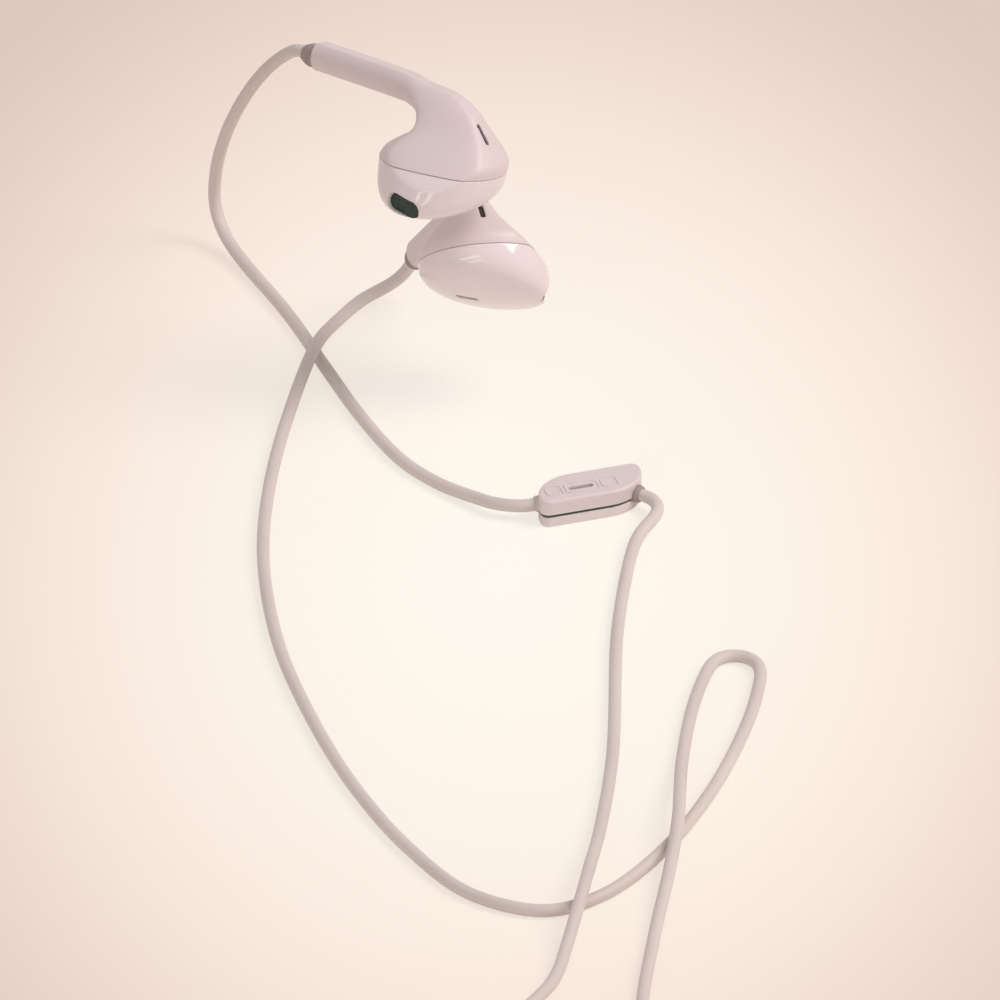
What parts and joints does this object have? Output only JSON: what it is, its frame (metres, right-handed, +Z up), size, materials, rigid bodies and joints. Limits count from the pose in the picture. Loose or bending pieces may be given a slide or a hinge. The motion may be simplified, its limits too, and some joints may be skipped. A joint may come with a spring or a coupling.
{
  "type": "wired earphones",
  "caption": "Pair of wired earphones with stemmed earbuds, an in-line remote, a junction, a wound cord and a 3.5 mm plug.",
  "frame": {"origin": "middle of the remote's flat back, which rests on the floor", "axes": "+Z up from the floor, +Y away from the front, +X to the right; the remote's long axis is turned 18.8 degrees from +X"},
  "size_m": [0.1203, 0.2628, 0.0456],
  "materials": {
    "board": "dark green circuit board",
    "copper": "enamelled copper wire",
    "cord_jacket": "soft matte white jacket",
    "dark_mesh": "fine dark mesh",
    "dark_part": "dark plastic",
    "film": "thin clear film",
    "gloss_shell": "glossy white plastic",
    "gold": "gold plated contacts",
    "green_mesh": "fine dark green mesh",
    "grey_rubber": "warm grey rubber",
    "magnet": "nickel plated magnet",
    "satin_shell": "satin white plastic",
    "steel": "plain steel"
  },
  "bodies": {
    "earphones": {"right_back_shell": "satin_shell", "right_front_shell": "gloss_shell", "right_port_mesh": "green_mesh", "right_slit_mesh": "dark_mesh", "right_vent_mesh": "dark_mesh", "right_driver_frame": "dark_part", "right_yoke": "steel", "right_magnet": "magnet", "right_top_plate": "steel", "right_seal_ring": "dark_part", "right_terminal_board": "board", "right_cord_relief": "grey_rubber", "right_cord_anchor": "steel", "left_back_shell": "satin_shell", "left_front_shell": "gloss_shell", "left_port_mesh": "green_mesh", "left_slit_mesh": "dark_mesh", "left_vent_mesh": "dark_mesh", "left_driver_frame": "dark_part", "left_yoke": "steel", "left_magnet": "magnet", "left_top_plate": "steel", "left_seal_ring": "dark_part", "left_terminal_board": "board", "left_cord_relief": "grey_rubber", "left_cord_anchor": "steel", "remote_top_cover": "satin_shell", "remote_bottom_cover": "satin_shell", "remote_board": "board", "remote_switches": "steel", "remote_microphone": "gold", "remote_entry_relief": "grey_rubber", "remote_exit_relief": "grey_rubber", "right_upper_cord": "cord_jacket", "right_lower_cord": "cord_jacket", "left_cord": "cord_jacket", "junction_cover": "satin_shell", "junction_crimp": "steel", "main_lead": "cord_jacket", "main_coil": "cord_jacket", "cord_tie": "grey_rubber", "plug_tail": "cord_jacket", "plug_relief": "grey_rubber", "plug_body": "satin_shell", "plug_sleeve": "gold", "plug_outer_ring": "gold", "plug_inner_ring": "gold", "plug_tip": "gold", "plug_insulator": "dark_part"},
    "volume_up": {"volume_up_button": "satin_shell"},
    "centre": {"centre_button": "satin_shell"},
    "volume_down": {"volume_down_button": "satin_shell"},
    "right_cone": {"right_diaphragm": "film", "right_voice_coil": "copper"},
    "left_cone": {"left_diaphragm": "film", "left_voice_coil": "copper"}
  },
  "joints": [
    {"name": "volume_up_press", "type": "slide", "parent": "earphones", "child": "volume_up", "axis": [0, 0, -1], "range_m": [0, 0.00025], "stiffness_N_per_m": 4000},
    {"name": "centre_press", "type": "slide", "parent": "earphones", "child": "centre", "axis": [0, 0, -1], "range_m": [0, 0.00025], "stiffness_N_per_m": 4000},
    {"name": "volume_down_press", "type": "slide", "parent": "earphones", "child": "volume_down", "axis": [0, 0, -1], "range_m": [0, 0.00025], "stiffness_N_per_m": 4000},
    {"name": "right_cone_travel", "type": "slide", "parent": "earphones", "child": "right_cone", "axis": [0.1236, 0.235, 0.9641], "range_m": [-0.0002, 0.0002], "stiffness_N_per_m": 500},
    {"name": "left_cone_travel", "type": "slide", "parent": "earphones", "child": "left_cone", "axis": [-0.0789, 0.6947, 0.715], "range_m": [-0.0002, 0.0002], "stiffness_N_per_m": 500}
  ]
}
